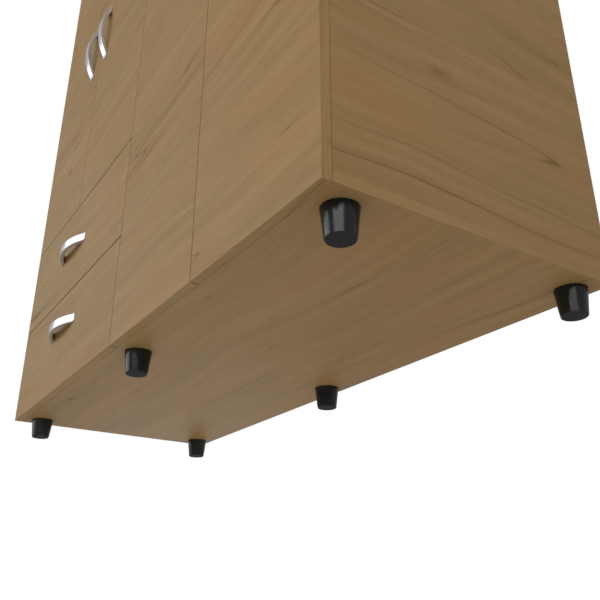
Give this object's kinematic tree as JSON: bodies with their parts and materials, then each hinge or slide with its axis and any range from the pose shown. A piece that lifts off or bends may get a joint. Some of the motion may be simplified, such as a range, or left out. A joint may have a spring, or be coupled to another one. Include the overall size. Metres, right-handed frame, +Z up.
{
  "type": "wardrobe with drawers",
  "caption": "Wide wood-grain wardrobe with hinged doors, two stacked drawers behind full fronts, curved bow handles and short tapered feet.",
  "frame": {"origin": "on the floor, at the middle of the whole footprint with the handles counted", "axes": "+Z up, -Y out of the doors, +X to the right as seen from the front"},
  "size_m": [1.6, 0.657, 2],
  "materials": {
    "carcass_board": "matt oak-grain laminate on 18 mm board",
    "front_board": "matt oak-grain laminate on 18 mm board",
    "inner_board": "matt oak-grain laminate on 18 mm board",
    "back_board": "thin hardboard, smooth side in",
    "drawer_box_board": "pale melamine board",
    "dowel_wood": "raw beech",
    "foot_plastic": "black moulded plastic",
    "handle_metal": "satin chrome on cast zinc",
    "screw_steel": "bright zinc plate",
    "cam_zinc": "die-cast zinc",
    "hinge_steel": "nickel-plated pressed steel",
    "runner_steel": "bright zinc-plated steel",
    "rail_chrome": "polished chrome tube",
    "socket_metal": "chromed die-cast zinc",
    "shelf_pin_steel": "nickel-plated steel"
  },
  "bodies": {
    "carcass": {"back_panel_left": "back_board", "back_panel_right": "back_board", "back_screws": "screw_steel", "bottom_panel": "carcass_board", "cam_bolts": "screw_steel", "cam_locks": "cam_zinc", "centre_divider": "carcass_board", "dowels": "dowel_wood", "drawer_bay_shelf": "inner_board", "foot_front_left": "foot_plastic", "foot_front_middle": "foot_plastic", "foot_front_right": "foot_plastic", "foot_rear_left": "foot_plastic", "foot_rear_middle": "foot_plastic", "foot_rear_right": "foot_plastic", "foot_studs": "screw_steel", "hanging_rails": "rail_chrome", "hat_shelf_left": "inner_board", "hat_shelf_right": "inner_board", "hinge_arms": "hinge_steel", "rail_sockets": "socket_metal", "runner_rails": "runner_steel", "shelf_pins": "shelf_pin_steel", "side_panel_left": "carcass_board", "side_panel_right": "carcass_board", "top_panel": "carcass_board"},
    "door_left_outer": {"door_left_outer": "front_board", "door_left_outer_handle": "handle_metal", "door_left_outer_screws": "screw_steel", "door_left_outer_hinge_cups": "hinge_steel"},
    "hinge_links_left_outer": {"door_left_outer_hinge_links": "hinge_steel"},
    "door_left_inner": {"door_left_inner": "front_board", "door_left_inner_handle": "handle_metal", "door_left_inner_screws": "screw_steel", "door_left_inner_hinge_cups": "hinge_steel"},
    "hinge_links_left_inner": {"door_left_inner_hinge_links": "hinge_steel"},
    "door_right_inner": {"door_right_inner": "front_board", "door_right_inner_handle": "handle_metal", "door_right_inner_screws": "screw_steel", "door_right_inner_hinge_cups": "hinge_steel"},
    "hinge_links_right_inner": {"door_right_inner_hinge_links": "hinge_steel"},
    "door_right_outer": {"door_right_outer": "front_board", "door_right_outer_handle": "handle_metal", "door_right_outer_screws": "screw_steel", "door_right_outer_hinge_cups": "hinge_steel"},
    "hinge_links_right_outer": {"door_right_outer_hinge_links": "hinge_steel"},
    "drawer_lower": {"drawer_lower_front": "front_board", "drawer_lower_box": "drawer_box_board", "drawer_lower_bottom": "drawer_box_board", "drawer_lower_handle": "handle_metal", "drawer_lower_screws": "screw_steel", "drawer_lower_runner_slides": "runner_steel"},
    "runner_middles_lower": {"drawer_lower_runner_middles": "runner_steel"},
    "drawer_upper": {"drawer_upper_front": "front_board", "drawer_upper_box": "drawer_box_board", "drawer_upper_bottom": "drawer_box_board", "drawer_upper_handle": "handle_metal", "drawer_upper_screws": "screw_steel", "drawer_upper_runner_slides": "runner_steel"},
    "runner_middles_upper": {"drawer_upper_runner_middles": "runner_steel"}
  },
  "joints": [
    {"name": "door_left_outer_hinge", "type": "hinge", "parent": "carcass", "child": "door_left_outer", "pos_m": [-0.799, -0.2995, 1.203], "axis": [0, 0, -1], "range_deg": [0, 100]},
    {"name": "hinge_links_left_outer_turn", "type": "hinge", "parent": "carcass", "child": "hinge_links_left_outer", "pos_m": [-0.7665, -0.2843, 1.203], "axis": [0, 0, 1], "range_deg": [0, 50]},
    {"name": "door_left_inner_hinge", "type": "hinge", "parent": "carcass", "child": "door_left_inner", "pos_m": [-0.0015, -0.2995, 1.203], "axis": [0, 0, 1], "range_deg": [0, 85]},
    {"name": "hinge_links_left_inner_turn", "type": "hinge", "parent": "carcass", "child": "hinge_links_left_inner", "pos_m": [-0.034, -0.2843, 1.203], "axis": [0, 0, -1], "range_deg": [0, 50]},
    {"name": "door_right_inner_hinge", "type": "hinge", "parent": "carcass", "child": "door_right_inner", "pos_m": [0.0015, -0.2995, 1.203], "axis": [0, 0, -1], "range_deg": [0, 85]},
    {"name": "hinge_links_right_inner_turn", "type": "hinge", "parent": "carcass", "child": "hinge_links_right_inner", "pos_m": [0.034, -0.2843, 1.203], "axis": [0, 0, 1], "range_deg": [0, 50]},
    {"name": "door_right_outer_hinge", "type": "hinge", "parent": "carcass", "child": "door_right_outer", "pos_m": [0.799, -0.2995, 1.203], "axis": [0, 0, 1], "range_deg": [0, 100]},
    {"name": "hinge_links_right_outer_turn", "type": "hinge", "parent": "carcass", "child": "hinge_links_right_outer", "pos_m": [0.7665, -0.2843, 1.203], "axis": [0, 0, -1], "range_deg": [0, 50]},
    {"name": "drawer_lower_slide", "type": "slide", "parent": "carcass", "child": "drawer_lower", "axis": [0, -1, 0], "range_m": [0, 0.45]},
    {"name": "runner_middles_lower_slide", "type": "slide", "parent": "carcass", "child": "runner_middles_lower", "axis": [0, -1, 0], "range_m": [0, 0.225]},
    {"name": "drawer_upper_slide", "type": "slide", "parent": "carcass", "child": "drawer_upper", "axis": [0, -1, 0], "range_m": [0, 0.45]},
    {"name": "runner_middles_upper_slide", "type": "slide", "parent": "carcass", "child": "runner_middles_upper", "axis": [0, -1, 0], "range_m": [0, 0.225]}
  ],
  "couplings": [
    {"joint": "hinge_links_left_outer_turn", "follows": "door_left_outer_hinge", "ratio": 0.5},
    {"joint": "hinge_links_left_inner_turn", "follows": "door_left_inner_hinge", "ratio": 0.5},
    {"joint": "hinge_links_right_inner_turn", "follows": "door_right_inner_hinge", "ratio": 0.5},
    {"joint": "hinge_links_right_outer_turn", "follows": "door_right_outer_hinge", "ratio": 0.5},
    {"joint": "runner_middles_lower_slide", "follows": "drawer_lower_slide", "ratio": 0.5},
    {"joint": "runner_middles_upper_slide", "follows": "drawer_upper_slide", "ratio": 0.5}
  ]
}
